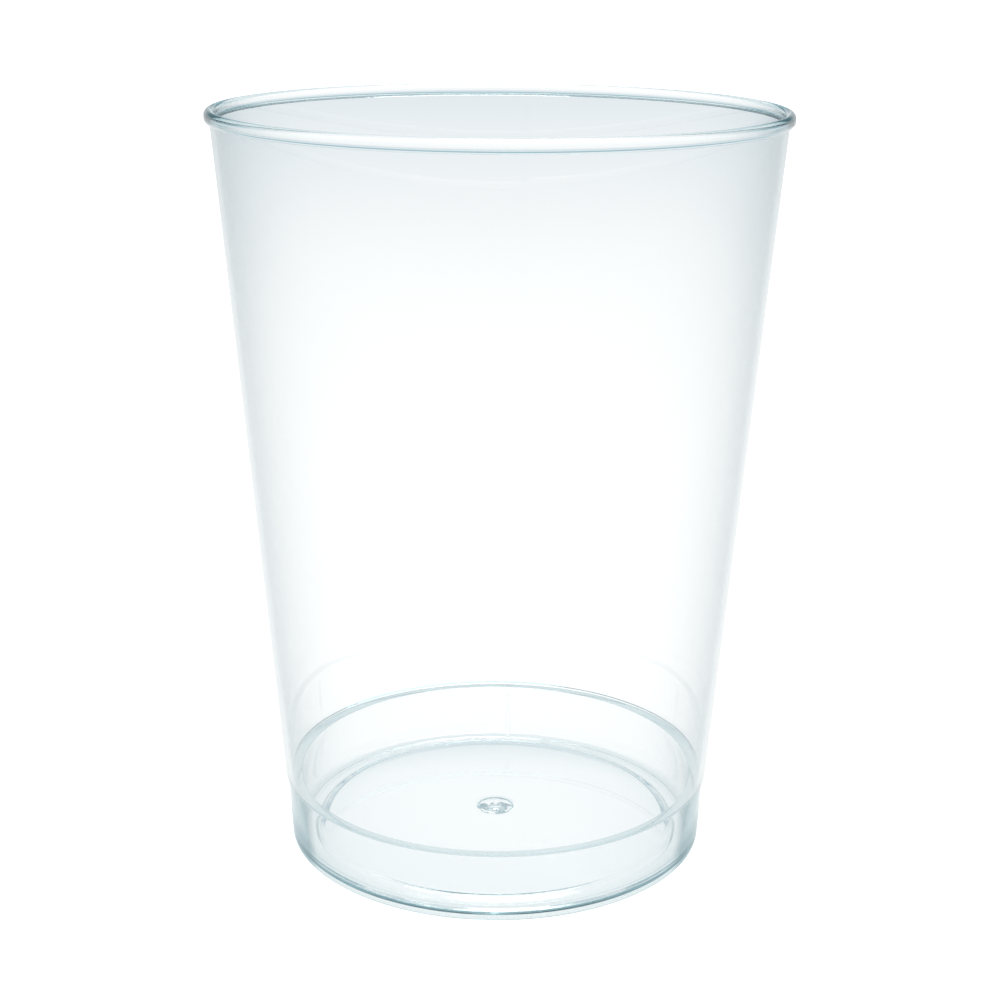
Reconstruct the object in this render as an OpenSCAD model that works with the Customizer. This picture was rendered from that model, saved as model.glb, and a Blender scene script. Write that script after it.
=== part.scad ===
// Clear tumbler cup, moulded in one piece. A thin wall leans out from a stepped foot to
// a round bead at the rim. The step on the outside and the ledge on the inside let cups
// stack. The floor stands on a ring and rises to a crowned panel with the mould's gate
// in its middle. The axis is +Z, and the origin is the middle of the base on the ground.

/* [Cup] */
// Height from the ground to the top of the rim
cup_h = 107.2; // [80:0.2:140]
// Diameter across the rim bead
rim_d = 80; // [72:0.5:96]
// Thickness of the leaning wall
wall_t = 0.8; // [0.6:0.05:1.1]
// Width of the rim bead, which is flush with the inside of the wall
bead_d = 1.5; // [1.3:0.1:2.4]
// Height of the rim bead, which is round above and below
bead_h = 1.85; // [1.5:0.05:3]

/* [Foot] */
// Diameter that the side of the foot has at the ground
foot_d = 61.4; // [52:0.2:66]
// Height of the foot, from the ground to the step and the ledge
foot_h = 10.2; // [8:0.2:16]
// Thickness of the foot's side
foot_t = 2.1; // [1:0.05:2.6]
// Lean of the foot's side from upright, in degrees
foot_lean = 3; // [1:0.5:6]
// How far the wall stands out over the foot at the step
step_w = 0.35; // [0.1:0.05:0.6]
// Radius of the foot's lower outer edge
foot_edge_r = 0.45; // [0.3:0.05:1.2]

/* [Floor] */
// Thickness of the floor's rim, over the flat ring that the cup stands on
floor_t = 1.25; // [0.8:0.05:2]
// Radius of the corner between the floor and the foot's side
floor_corner_r = 0.9; // [0.3:0.1:1.4]
// Width of the groove between the foot's side and the raised panel
groove_w = 1.85; // [1.2:0.05:4]
// Height of the panel's sloped edge, inside the cup
panel_rise = 0.85; // [0.4:0.05:1.5]
// Thickness of the raised panel
panel_t = 0.9; // [0.7:0.05:1.2]
// Height that the panel's crown adds in the middle
crown_h = 0.7; // [0.2:0.1:1.5]

/* [Gate] */
// Diameter of the recess round the gate, under the floor
gate_d = 5; // [3:0.2:8]
// Depth of that recess
gate_deep = 0.5; // [0.3:0.05:0.7]
// Height of the low dome over the recess, inside the cup
gate_dome_h = 0.4; // [0.2:0.05:0.8]
// Diameter of the sprue stub left in the recess
stub_d = 1.4; // [0.8:0.1:2]
// Length of the sprue stub
stub_h = 0.35; // [0.1:0.05:0.5]

/* [Rib] */
// Radius of the upright rib inside the foot
rib_r = 0.6; // [0.3:0.05:1]
// Distance from the top of the rib down to the ledge
rib_drop = 1.6; // [0.6:0.2:4]
// Direction of the rib, in degrees anticlockwise from +X
rib_turn = 86; // [0:1:359]

/* [Hidden] */

$fn = 180;
// Facets of the crown's wide arcs, of which only a short stretch shows
crown_fn = 1440;

rim_r = rim_d / 2;
bead_r = bead_d / 2;
// Centres of the bead's upper and lower rounds. The wall ends at the upper one.
bead_z = cup_h - bead_r;
bead_low_z = min(bead_z, cup_h - bead_h + bead_r);
inner_rim_r = rim_r - bead_d;

// Radii that the foot's two sides would have at the ground
foot_r = foot_d / 2;
foot_inner_r = foot_r - foot_t / cos(foot_lean);
// Outer radius of the wall where it stands on the foot
step_r = leaning_r(foot_r, foot_h) + step_w;

// The raised panel's top radius and its edge height, inside the cup and then underneath.
// They differ so that the panel keeps its thickness along its 45 degree edge.
panel_r = foot_inner_r - groove_w - panel_rise;
panel_under_r = panel_r - panel_t * tan(22.5);
panel_under_rise = floor_t + panel_rise - panel_t;

gate_r = gate_d / 2;
stub_r = stub_d / 2;

// Radius at height z of a side that leans as the foot does and starts at base_r
function leaning_r(base_r, z) = base_r + z * tan(foot_lean);

// Radius of a sphere's cap that is cap_h high over a circle of radius r
function cap_sphere_r(r, cap_h) = (r ^ 2 + cap_h ^ 2) / (2 * cap_h);

// Distance from the axis of the centre of an edge rounding that touches a leaning side
function edge_centre_r(base_r, z, edge_r) = leaning_r(base_r, z) - edge_r / cos(foot_lean);

// Half section of a foot-shaped body: a leaning side over a rounded lower edge
module foot_area(base_r, z_low, edge_r) {
    edge_z = z_low + edge_r;
    edge_x = edge_centre_r(base_r, edge_z, edge_r);
    polygon([
        [0, z_low],
        [edge_x, z_low],
        [edge_x + edge_r * cos(foot_lean), edge_z - edge_r * sin(foot_lean)],
        [leaning_r(base_r, foot_h), foot_h],
        [0, foot_h]
    ]);
    translate([edge_x, edge_z]) circle(edge_r);
}

// Half section of what the wall's outside encloses, or its inside with an inset of wall_t
module wall_area(inset) {
    polygon([
        [0, foot_h],
        [step_r - inset, foot_h],
        [inner_rim_r + wall_t - inset, bead_z],
        [0, bead_z]
    ]);
}

// Half section of a cap: the top of a sphere that is cut at radius r
module cap_area(r, cap_h) {
    sphere_r = cap_sphere_r(r, cap_h);
    intersection() {
        translate([0, cap_h - sphere_r]) circle(sphere_r, $fn = crown_fn);
        square([r, cap_h]);
    }
}

// Half section of the raised panel: a 45 degree edge, and a crowned top inside it
module panel_area(top_r, rise) {
    sphere_r = cap_sphere_r(top_r, crown_h);
    crown_z = rise + crown_h;
    intersection() {
        polygon([
            [0, 0],
            [top_r + rise, 0],
            [top_r - crown_h, crown_z],
            [0, crown_z]
        ]);
        translate([0, crown_z - sphere_r]) circle(sphere_r, $fn = crown_fn);
    }
}

// Half section of the space inside the cup
module inside_area() {
    difference() {
        foot_area(foot_inner_r, floor_t, floor_corner_r);
        translate([0, floor_t]) panel_area(panel_r, panel_rise);
        translate([0, floor_t + panel_rise + crown_h]) gate_dome_area();
    }
    wall_area(wall_t);
}

// Half section of the low dome over the gate, started below the panel's top
module gate_dome_area() {
    cap_area(gate_r + gate_dome_h, gate_dome_h);
    translate([0, -gate_dome_h]) square([gate_r + gate_dome_h, gate_dome_h]);
}

// Half section of the space under the floor, with the stub left standing in its recess
module under_area() {
    gate_top = panel_under_rise + crown_h + gate_deep;
    panel_area(panel_under_r, panel_under_rise);
    difference() {
        square([gate_r, gate_top]);
        translate([0, gate_top - stub_h]) square([stub_r, stub_h]);
    }
}

// Half section of the rim bead
module bead_area() {
    for (z = [bead_low_z, bead_z]) translate([rim_r - bead_r, z]) circle(bead_r);
    translate([inner_rim_r, bead_low_z]) square([bead_d, bead_z - bead_low_z]);
}

// The upright rib, half sunk in the foot's inner side, with a round top end
module rib() {
    rib_z = foot_h - rib_drop;
    rotate([0, 0, rib_turn]) translate([leaning_r(foot_inner_r, 0), 0, 0]) rotate([0, foot_lean, 0]) {
        translate([0, 0, floor_t / 2]) cylinder(h = rib_z - floor_t / 2, r = rib_r, $fn = 48);
        translate([0, 0, rib_z]) sphere(rib_r, $fn = 48);
    }
}

module tumbler() {
    color([0.82, 0.92, 0.95, 0.45]) union() {
        rotate_extrude() difference() {
            union() {
                foot_area(foot_r, 0, foot_edge_r);
                wall_area(0);
                bead_area();
            }
            inside_area();
            under_area();
        }
        rib();
    }
}

tumbler();
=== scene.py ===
import math

import bmesh
import bpy
from mathutils import Matrix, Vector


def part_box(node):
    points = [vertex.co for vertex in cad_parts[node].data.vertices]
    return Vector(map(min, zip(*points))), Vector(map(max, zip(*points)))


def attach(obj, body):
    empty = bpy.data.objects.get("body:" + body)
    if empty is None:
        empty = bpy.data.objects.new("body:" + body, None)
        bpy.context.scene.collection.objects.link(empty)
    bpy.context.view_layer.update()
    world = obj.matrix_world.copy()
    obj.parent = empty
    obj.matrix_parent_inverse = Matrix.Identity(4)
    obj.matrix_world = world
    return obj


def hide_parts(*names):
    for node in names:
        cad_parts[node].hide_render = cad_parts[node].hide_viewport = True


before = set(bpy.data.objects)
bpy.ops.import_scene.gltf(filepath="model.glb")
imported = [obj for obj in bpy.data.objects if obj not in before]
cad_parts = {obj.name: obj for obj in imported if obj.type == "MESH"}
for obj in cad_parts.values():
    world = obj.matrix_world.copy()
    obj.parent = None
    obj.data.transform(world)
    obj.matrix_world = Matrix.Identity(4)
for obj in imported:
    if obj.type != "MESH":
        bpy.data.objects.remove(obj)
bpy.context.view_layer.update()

# The camera: the photograph's own viewing angle, from in front of the cup and above
# its rim, looking down at it. It leans a hair to one side, as the photograph does.
CAMERA_FOCAL = 1.8704
CAMERA_BACK = 0.25917
CAMERA_HEIGHT = 0.13122
CAMERA_PITCH = 0.2997
CAMERA_YAW = 0.0015
CAMERA_ROLL = 0.0071
SENSOR_WIDTH = 36.0

camera_data = bpy.data.cameras.new("camera")
camera_data.sensor_width = SENSOR_WIDTH
camera_data.lens = SENSOR_WIDTH * CAMERA_FOCAL
camera_data.clip_start = 0.01
camera_data.clip_end = 50.0
camera = bpy.data.objects.new("camera", camera_data)
bpy.context.scene.collection.objects.link(camera)
camera.matrix_world = (
    Matrix.Translation((0, -CAMERA_BACK, CAMERA_HEIGHT))
    @ Matrix.Rotation(-CAMERA_YAW, 4, "Z")
    @ Matrix.Rotation(math.pi / 2 - CAMERA_PITCH, 4, "X")
    @ Matrix.Rotation(CAMERA_ROLL, 4, "Z")
)
bpy.context.scene.camera = camera

# The tumbler: one piece of clear polystyrene, injected through a gate in the middle of
# the floor. Its half section is a chain of rounded corners, from the middle of the floor
# up the inside, over the rim and back under the floor, and is turned about the axis.
MM = 0.001
_, cup_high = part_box("tumbler")
CUP_H = cup_high[2]
RIM_R = cup_high[0]
WALL_T = 0.8 * MM
BEAD_R = 0.75 * MM
BEAD_H = 1.85 * MM
BEAD_ROOT_IN = 0.06 * MM
BEAD_ROOT_R = 0.05 * MM
FOOT_R = 30.7 * MM
FOOT_H = 10.2 * MM
FOOT_T = 2.1 * MM
FOOT_LEAN = math.radians(3)
STEP_W = 0.35 * MM
STEP_EDGE_R = 0.3 * MM
STEP_CORNER_R = 0.05 * MM
LEDGE_EDGE_R = 0.35 * MM
FOOT_EDGE_R = 0.45 * MM
FLOOR_T = 1.25 * MM
FLOOR_CORNER_R = 0.9 * MM
GROOVE_W = 1.85 * MM
PANEL_RISE = 0.85 * MM
PANEL_T = 0.9 * MM
PANEL_EDGE_R = 1.2 * MM
UNDER_EDGE_R = 1.2 * MM
CROWN_H = 0.7 * MM
GATE_R = 2.5 * MM
GATE_DEEP = 0.5 * MM
GATE_MOUTH_R = 0.2 * MM
GATE_CORNER_R = 0.25 * MM
GATE_DOME_H = 0.4 * MM
STUB_R = 0.7 * MM
STUB_H = 0.35 * MM
STUB_EDGE_R = 0.2 * MM
FINE_R = 0.12 * MM
RIB_R = 0.35 * MM
RIB_DROP = 1.6 * MM
RIB_TURN = math.radians(86)


def leaning_r(base_r, z):
    return base_r + z * math.tan(FOOT_LEAN)


bead_x = RIM_R - BEAD_R
bead_z = CUP_H - BEAD_R
bead_low_z = CUP_H - BEAD_H + BEAD_R
wall_in_r = RIM_R - 2 * BEAD_R
wall_out_r = wall_in_r + WALL_T
step_r = leaning_r(FOOT_R, FOOT_H) + STEP_W
foot_in_r = FOOT_R - FOOT_T / math.cos(FOOT_LEAN)
panel_r = foot_in_r - GROOVE_W - PANEL_RISE
panel_under_r = panel_r - PANEL_T * math.tan(math.radians(22.5))
panel_under_z = FLOOR_T + PANEL_RISE - PANEL_T
dome_r = GATE_R + GATE_DOME_H
rib_top = FOOT_H - RIB_DROP


def crown_z(r, edge_r, edge_z):
    return edge_z + CROWN_H * (1 - (r / edge_r) ** 2)


def panel_z(r):
    return crown_z(r, panel_r, FLOOR_T + PANEL_RISE)


def under_z(r):
    return crown_z(r, panel_under_r, panel_under_z)


def bead_arc(centre_z, first_deg, last_deg, steps=14):
    for k in range(steps + 1):
        turn = math.radians(first_deg + (last_deg - first_deg) * k / steps)
        yield (bead_x + BEAD_R * math.cos(turn), centre_z + BEAD_R * math.sin(turn), 0)


# Each corner is its distance from the axis, its height, and the radius that rounds it
section = [
    (dome_r * k / 4, panel_z(dome_r * k / 4) + GATE_DOME_H * (1 - (k / 4) ** 2), 0)
    for k in range(4)
]
section += [(dome_r, panel_z(dome_r), FINE_R)]
section += [(panel_r * k / 12, panel_z(panel_r * k / 12), 0) for k in range(2, 12)]
section += [
    (panel_r, FLOOR_T + PANEL_RISE, PANEL_EDGE_R),
    (panel_r + PANEL_RISE, FLOOR_T, PANEL_EDGE_R),
    (leaning_r(foot_in_r, FLOOR_T), FLOOR_T, FLOOR_CORNER_R),
]
rib_levels = [rib_top + RIB_R * math.sin(math.radians(turn)) for turn in range(0, 91, 10)]
section += [(leaning_r(foot_in_r, z), z, 0) for z in rib_levels]
section += [
    (leaning_r(foot_in_r, FOOT_H), FOOT_H, FINE_R),
    (step_r - WALL_T, FOOT_H, LEDGE_EDGE_R),
]
section += bead_arc(bead_z, 180, 0)
section += bead_arc(bead_low_z, 0, -85)
section += [
    (wall_out_r - BEAD_ROOT_IN, bead_low_z - BEAD_R, BEAD_ROOT_R),
    (step_r, FOOT_H, STEP_EDGE_R),
    (leaning_r(FOOT_R, FOOT_H), FOOT_H, STEP_CORNER_R),
    (FOOT_R, 0, FOOT_EDGE_R),
    (panel_under_r + panel_under_z, 0, UNDER_EDGE_R),
    (panel_under_r, panel_under_z, UNDER_EDGE_R),
]
section += [
    (panel_under_r * k / 12, under_z(panel_under_r * k / 12), 0) for k in range(11, 1, -1)
]
gate_top = panel_under_z + CROWN_H + GATE_DEEP
section += [
    (GATE_R, under_z(GATE_R), GATE_MOUTH_R),
    (GATE_R, gate_top, GATE_CORNER_R),
    (STUB_R, gate_top, FINE_R),
    (STUB_R, gate_top - STUB_H, STUB_EDGE_R),
    (0, gate_top - STUB_H, 0),
]

shape = bmesh.new()
corners = [shape.verts.new((r, 0, z)) for r, z, rounding in section]
for a, b in zip(corners, corners[1:]):
    shape.edges.new((a, b))
for corner, (r, z, rounding) in list(zip(corners, section)):
    if rounding:
        ends = [(e.other_vert(corner).co - corner.co).normalized() for e in corner.link_edges]
        half_turn = (math.pi - ends[0].angle(ends[1])) / 2
        bmesh.ops.bevel(
            shape,
            geom=[corner],
            offset=rounding * math.tan(half_turn),
            offset_type="OFFSET",
            segments=8,
            profile=0.5,
            affect="VERTICES",
            material=-1,
        )

# The turn is finer over the few degrees round the rib, where the inner side is then
# pushed in by the rib's round.
RIB_SECTOR = math.radians(4)
bmesh.ops.rotate(
    shape,
    cent=(0, 0, 0),
    matrix=Matrix.Rotation(RIB_TURN - RIB_SECTOR / 2, 3, "Z"),
    verts=shape.verts,
)
outline = shape.verts[:] + shape.edges[:]
for sweep, steps in ((RIB_SECTOR, 40), (2 * math.pi - RIB_SECTOR, 356)):
    turned = bmesh.ops.spin(
        shape,
        geom=outline,
        axis=(0, 0, 1),
        cent=(0, 0, 0),
        angle=sweep,
        steps=steps,
        use_merge=False,
        use_normal_flip=False,
        use_duplicate=False,
    )
    outline = turned["geom_last"]
bmesh.ops.remove_doubles(shape, verts=shape.verts, dist=1e-6)
for vert in shape.verts:
    x, y, z = vert.co
    r = math.hypot(x, y)
    off = r * (math.atan2(y, x) - RIB_TURN)
    wall_r = leaning_r(foot_in_r, z)
    above = max(0.0, z - rib_top)
    inside = FLOOR_T - FINE_R < z < FOOT_H - FINE_R and foot_in_r - 2 * MM < r < wall_r + FINE_R
    if inside and off * off + above * above < RIB_R * RIB_R:
        push = math.sqrt(RIB_R * RIB_R - off * off - above * above) - (wall_r - r)
        if push > 0:
            vert.co = (x * (r - push) / r, y * (r - push) / r, z)
bmesh.ops.recalc_face_normals(shape, faces=shape.faces)

tumbler_mesh = bpy.data.meshes.new("tumbler_clear")
shape.to_mesh(tumbler_mesh)
shape.free()
tumbler_mesh.shade_smooth()
tumbler = bpy.data.objects.new("tumbler_clear", tumbler_mesh)
bpy.context.scene.collection.objects.link(tumbler)

# Clear polystyrene: almost no colour face on, and blue-green where it is seen edge on,
# but less so on its flat parts. The edge-on blue-green is partly the plastic's tint and partly
# painted shade for the dark surroundings seen in its edges. It lets most of the light through to
# its own shadow.
EDGE_POWER = 2.8
EDGE_TINT_AND_SHADE_COLOUR = (0.05, 0.18, 0.22, 1)
FLAT_SHARE = 0.7
BODY_COLOUR = (0.16, 0.49, 0.55, 1)
BODY_DENSITY = 24.0
SHADOW_COLOUR = (0.9, 0.94, 0.95, 1)


def start_nodes(owner, output_kind):
    owner.use_nodes = True
    tree = owner.node_tree
    tree.nodes.clear()
    return tree.nodes, tree.links, tree.nodes.new(output_kind)


def feed(socket, value):
    if isinstance(value, bpy.types.NodeSocket):
        links.new(value, socket)
    else:
        socket.default_value = value


def node_math(operation, *values):
    step = nodes.new("ShaderNodeMath")
    step.operation = operation
    for socket, value in zip(step.inputs, values):
        feed(socket, value)
    return step.outputs[0]


def smooth_range(value, low, high, low_value=0.0, high_value=1.0):
    reach = nodes.new("ShaderNodeMapRange")
    reach.interpolation_type = "SMOOTHSTEP"
    feed(reach.inputs["Value"], value)
    feed(reach.inputs["From Min"], low)
    feed(reach.inputs["From Max"], high)
    feed(reach.inputs["To Min"], low_value)
    feed(reach.inputs["To Max"], high_value)
    return reach.outputs["Result"]


def mix_colours(factor, first, second, blend="MIX"):
    blended = nodes.new("ShaderNodeMix")
    blended.data_type = "RGBA"
    blended.blend_type = blend
    feed(blended.inputs["Factor"], factor)
    feed(blended.inputs["A"], first)
    feed(blended.inputs["B"], second)
    return blended.outputs["Result"]


def mix_shaders(factor, first, second):
    joined = nodes.new("ShaderNodeMixShader")
    links.new(factor, joined.inputs["Fac"])
    links.new(first.outputs[0], joined.inputs[1])
    links.new(second.outputs[0], joined.inputs[2])
    return joined


plastic = bpy.data.materials.new("clear_polystyrene")
nodes, links, out = start_nodes(plastic, "ShaderNodeOutputMaterial")
skin = nodes.new("ShaderNodeBsdfPrincipled")
skin.inputs["Transmission Weight"].default_value = 1.0
skin.inputs["IOR"].default_value = 1.59
skin.inputs["Roughness"].default_value = 0.0
edge_on = nodes.new("ShaderNodeLayerWeight")
edge_on.inputs["Blend"].default_value = 0.5
place = nodes.new("ShaderNodeTexCoord")
facing = nodes.new("ShaderNodeSeparateXYZ")
links.new(place.outputs["Normal"], facing.inputs[0])
flat = node_math("ABSOLUTE", facing.outputs["Z"])
upright = node_math("MULTIPLY_ADD", flat, -FLAT_SHARE, 1.0)
# Painted shade: the base colour darkens to blue-green towards the outline, besides the plastic's
# own tint
edge_pull = node_math("POWER", edge_on.outputs["Facing"], EDGE_POWER)
edge_tint_and_shade = node_math("MULTIPLY", edge_pull, upright)
spot = nodes.new("ShaderNodeSeparateXYZ")
links.new(place.outputs["Object"], spot.inputs[0])
spot_r2 = node_math(
    "ADD",
    node_math("MULTIPLY", spot.outputs["X"], spot.outputs["X"]),
    node_math("MULTIPLY", spot.outputs["Y"], spot.outputs["Y"]),
)

# The foot's side is thick, and its outline is tinted darker than the wall's: partly the thick
# plastic and partly painted shade for the cup's contact shadow seen through the foot
FOOT_SIDE_SHADE_SHARE = 0.9
FOOT_SIDE_FROM = 0.58
FOOT_SIDE_TO = 0.72
outer_foot = node_math(
    "MULTIPLY",
    node_math("GREATER_THAN", spot_r2, (FOOT_R - FOOT_EDGE_R) ** 2),
    node_math("LESS_THAN", spot.outputs["Z"], FOOT_H),
)
foot_shade_by_facing = smooth_range(
    edge_on.outputs["Facing"], FOOT_SIDE_FROM, FOOT_SIDE_TO, high_value=FOOT_SIDE_SHADE_SHARE
)
foot_side_shade = node_math("MULTIPLY", outer_foot, foot_shade_by_facing)
edge_tint_and_shade = node_math("MAXIMUM", edge_tint_and_shade, foot_side_shade)
plastic_colour_and_shade = mix_colours(edge_tint_and_shade, (1, 1, 1, 1), EDGE_TINT_AND_SHADE_COLOUR)

# The torn sprue leaves matt, darker patches round the stub, inside the gate's recess
TORN_COLOUR = (0.05, 0.13, 0.16, 1)
TORN_ROUGHNESS = 0.2
TORN_SCALE = 520.0
TORN_FROM = 0.44
TORN_TO = 0.54
TORN_PAST = 0.2 * MM
in_gate = node_math(
    "MULTIPLY",
    node_math("LESS_THAN", spot_r2, (GATE_R + TORN_PAST) ** 2),
    node_math("LESS_THAN", spot.outputs["Z"], gate_top + TORN_PAST),
)
torn = nodes.new("ShaderNodeTexNoise")
torn.inputs["Scale"].default_value = TORN_SCALE
torn.inputs["Detail"].default_value = 1.0
links.new(place.outputs["Object"], torn.inputs["Vector"])
torn_patches = node_math("MULTIPLY", in_gate, smooth_range(torn.outputs[0], TORN_FROM, TORN_TO))
plastic_colour_and_shade = mix_colours(torn_patches, plastic_colour_and_shade, TORN_COLOUR)
links.new(plastic_colour_and_shade, skin.inputs["Base Color"])
links.new(node_math("MULTIPLY", torn_patches, TORN_ROUGHNESS), skin.inputs["Roughness"])

tint = nodes.new("ShaderNodeVolumeAbsorption")
tint.inputs["Color"].default_value = BODY_COLOUR
tint.inputs["Density"].default_value = BODY_DENSITY
clear = nodes.new("ShaderNodeBsdfTransparent")
clear.inputs["Color"].default_value = SHADOW_COLOUR
path = nodes.new("ShaderNodeLightPath")
surface = mix_shaders(path.outputs["Is Shadow Ray"], skin, clear)
links.new(surface.outputs[0], out.inputs["Surface"])
links.new(tint.outputs[0], out.inputs["Volume"])
tumbler_mesh.materials.append(plastic)

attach(tumbler, "root")
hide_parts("tumbler")

# The stage: a pale floor, which the camera sees as white but for the cup's faint shadow,
# and which the clear plastic sees as a white pool that dims with distance and has a ring
# of contact shade under the cup. Each fade is from one distance and value to another.
FLOOR_R = 20.0
FLOOR_COLOUR = (0.85, 0.85, 0.85, 1)
LIFT_NEAR, LIFT_FAR = (0.05, 0.45), (0.5, 1.0)
POOL_NEAR, POOL_FAR = (0.1, 1.1), (1.0, 1.0)
POOL_COLOUR = (1.0, 1.0, 1.0, 1)
POOL_FAR_COLOUR = (0.72, 0.79, 0.83, 1)
DIM_NEAR, DIM_FAR = (0.2, 0.0), (2.4, 1.0)
RING_REACH = 60 * MM
RING_STOPS = (
    (0.0, 0.93),
    (0.38, 0.9),
    (0.46, 0.82),
    (0.5, 0.72),
    (0.53, 0.75),
    (0.57, 0.97),
    (0.75, 1.0),
)
TEAL_GREEN = 0.72
TEAL_BLUE = 0.66


def fade_by_distance(near, far):
    return smooth_range(distance.outputs["Value"], near[0], far[0], near[1], far[1])


def colour_bands(value, stops):
    ramp = nodes.new("ShaderNodeValToRGB")
    bands = ramp.color_ramp.elements
    for _ in range(len(stops) - 2):
        bands.new(0.5)
    for band, (position, colour) in zip(bands, stops):
        band.position = position
        band.color = colour
    links.new(value, ramp.inputs["Fac"])
    return ramp.outputs["Color"]


def by_plastic(light_path):
    glossy = light_path.outputs["Is Glossy Ray"]
    return node_math("MAXIMUM", glossy, light_path.outputs["Is Transmission Ray"])


stage_shape = bmesh.new()
bmesh.ops.create_circle(stage_shape, cap_ends=True, segments=64, radius=FLOOR_R)
stage_mesh = bpy.data.meshes.new("floor")
stage_shape.to_mesh(stage_mesh)
stage_shape.free()
floor = bpy.data.objects.new("floor", stage_mesh)
bpy.context.scene.collection.objects.link(floor)

floor_material = bpy.data.materials.new("floor_white")
nodes, links, out = start_nodes(floor_material, "ShaderNodeOutputMaterial")
path = nodes.new("ShaderNodeLightPath")
place = nodes.new("ShaderNodeTexCoord")
distance = nodes.new("ShaderNodeVectorMath")
distance.operation = "LENGTH"
links.new(place.outputs["Object"], distance.inputs[0])
diffuse = nodes.new("ShaderNodeBsdfDiffuse")
diffuse.inputs["Color"].default_value = FLOOR_COLOUR
lift = nodes.new("ShaderNodeEmission")
links.new(fade_by_distance(LIFT_NEAR, LIFT_FAR), lift.inputs["Strength"])
seen = nodes.new("ShaderNodeAddShader")
links.new(diffuse.outputs[0], seen.inputs[0])
links.new(lift.outputs[0], seen.inputs[1])
pool_colour = mix_colours(fade_by_distance(DIM_NEAR, DIM_FAR), POOL_COLOUR, POOL_FAR_COLOUR)
ring_share = node_math("DIVIDE", distance.outputs["Value"], RING_REACH)
ring_shade = colour_bands(
    ring_share,
    [(share, (level, level ** TEAL_GREEN, level ** TEAL_BLUE, 1)) for share, level in RING_STOPS],
)
white = nodes.new("ShaderNodeEmission")
links.new(mix_colours(1.0, pool_colour, ring_shade, "MULTIPLY"), white.inputs["Color"])
links.new(fade_by_distance(POOL_NEAR, POOL_FAR), white.inputs["Strength"])
links.new(mix_shaders(by_plastic(path), seen, white).outputs[0], out.inputs["Surface"])
stage_mesh.materials.append(floor_material)

# The room: white to the camera, a dim pale light on the object, and for the clear plastic
# a pale horizon with a darker blue-green band over it, as the walls round a white table
# would show. Each band is the height of the ray's direction and what it meets there.
ROOM_LIGHT_COLOUR = (0.9, 0.97, 1.0, 1)
ROOM_LIGHT = 0.4
ROOM_BANDS = (
    (0.0, (0.76, 0.84, 0.87, 1)),
    (0.12, (0.64, 0.76, 0.8, 1)),
    (0.18, (0.26, 0.46, 0.53, 1)),
    (0.28, (0.26, 0.46, 0.53, 1)),
    (0.4, (0.95, 0.98, 1.0, 1)),
    (0.97, (0.5, 0.65, 0.7, 1)),
)
world = bpy.data.worlds.new("studio")
bpy.context.scene.world = world
nodes, links, out = start_nodes(world, "ShaderNodeOutputWorld")
path = nodes.new("ShaderNodeLightPath")
seen = nodes.new("ShaderNodeBackground")
seen.inputs["Color"].default_value = (1, 1, 1, 1)
dim = nodes.new("ShaderNodeBackground")
dim.inputs["Color"].default_value = ROOM_LIGHT_COLOUR
dim.inputs["Strength"].default_value = ROOM_LIGHT
aim = nodes.new("ShaderNodeTexCoord")
rise = nodes.new("ShaderNodeSeparateXYZ")
links.new(aim.outputs["Generated"], rise.inputs[0])
mirrored = nodes.new("ShaderNodeBackground")
links.new(colour_bands(rise.outputs["Z"], ROOM_BANDS), mirrored.inputs["Color"])
room = mix_shaders(path.outputs["Is Camera Ray"], dim, seen)
links.new(mix_shaders(by_plastic(path), room, mirrored).outputs[0], out.inputs["Surface"])

# The lamp: one round soft box over the cup, a little to the right, aimed at its foot. Light
# runs round inside the clear foot many times before it leaves, so its paths are kept long.
LAMP_SIZE = 0.6
LAMP_WATTS = 6.0
LAMP_PLACE = (0.1, -0.05, 0.8)
BOUNCES = 48
lamp_data = bpy.data.lights.new("key", "AREA")
lamp_data.shape = "DISK"
lamp_data.size = LAMP_SIZE
lamp_data.energy = LAMP_WATTS
lamp = bpy.data.objects.new("key", lamp_data)
lamp.location = LAMP_PLACE
lamp.rotation_euler = (-lamp.location).to_track_quat("-Z", "Y").to_euler()
bpy.context.scene.collection.objects.link(lamp)
bpy.context.scene.cycles.max_bounces = BOUNCES
bpy.context.scene.cycles.transmission_bounces = BOUNCES
bpy.context.scene.cycles.glossy_bounces = BOUNCES

bpy.context.scene.view_settings.view_transform = "Standard"
